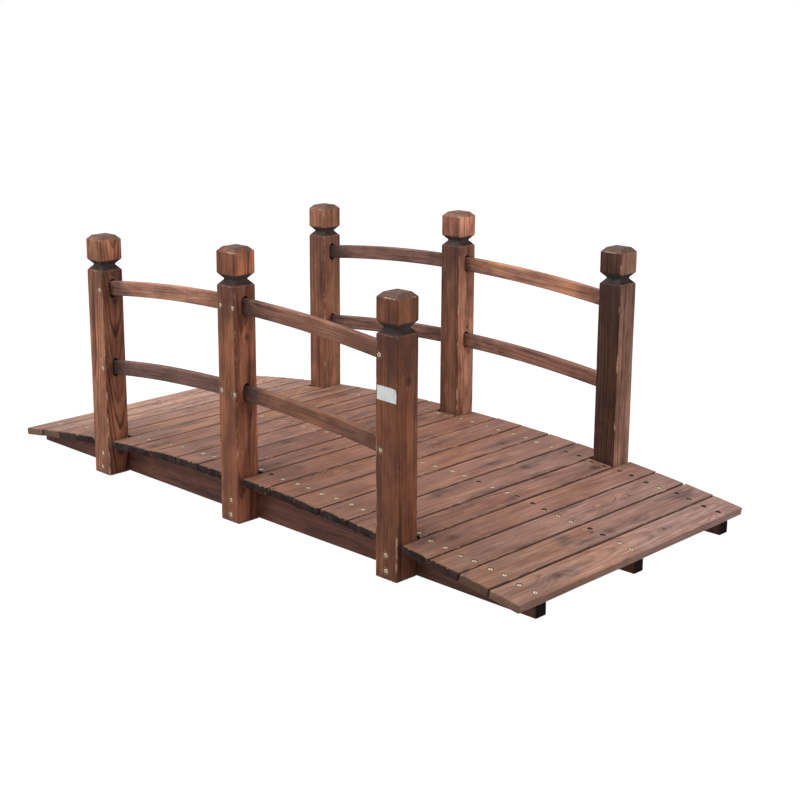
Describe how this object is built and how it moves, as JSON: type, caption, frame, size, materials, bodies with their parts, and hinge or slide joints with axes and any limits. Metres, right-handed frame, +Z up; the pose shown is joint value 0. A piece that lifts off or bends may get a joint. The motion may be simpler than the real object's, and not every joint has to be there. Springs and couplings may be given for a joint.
{
  "type": "wooden garden bridge",
  "caption": "Low arched garden footbridge of stained softwood: plank deck on arched stringers, square posts with grooved and bevelled heads, and arched side rails.",
  "frame": {"origin": "on the ground, under the middle of the deck", "axes": "+X along the walkway to its front end, +Y across to its left side, +Z up"},
  "size_m": [1.4982, 0.7112, 0.561],
  "materials": {
    "stringer_wood": "satin",
    "post_wood": "satin",
    "rail_wood": "satin",
    "deck_wood": "satin"
  },
  "bodies": {
    "root": {"left_stringer": "stringer_wood", "middle_stringer": "stringer_wood", "right_stringer": "stringer_wood", "left_back_post": "post_wood", "left_middle_post": "post_wood", "left_front_post": "post_wood", "right_back_post": "post_wood", "right_middle_post": "post_wood", "right_front_post": "post_wood", "left_back_upper_rail": "rail_wood", "left_back_lower_rail": "rail_wood", "left_front_upper_rail": "rail_wood", "left_front_lower_rail": "rail_wood", "right_back_upper_rail": "rail_wood", "right_back_lower_rail": "rail_wood", "right_front_upper_rail": "rail_wood", "right_front_lower_rail": "rail_wood", "deck_board_01": "deck_wood", "deck_board_02": "deck_wood", "deck_board_03": "deck_wood", "deck_board_04": "deck_wood", "deck_board_05": "deck_wood", "deck_board_06": "deck_wood", "deck_board_07": "deck_wood", "deck_board_08": "deck_wood", "deck_board_09": "deck_wood", "deck_board_10": "deck_wood", "deck_board_11": "deck_wood", "deck_board_12": "deck_wood", "deck_board_13": "deck_wood", "deck_board_14": "deck_wood", "deck_board_15": "deck_wood", "deck_board_16": "deck_wood", "deck_board_17": "deck_wood", "deck_board_18": "deck_wood", "deck_board_19": "deck_wood", "deck_board_20": "deck_wood", "deck_board_21": "deck_wood"}
  },
  "joints": []
}
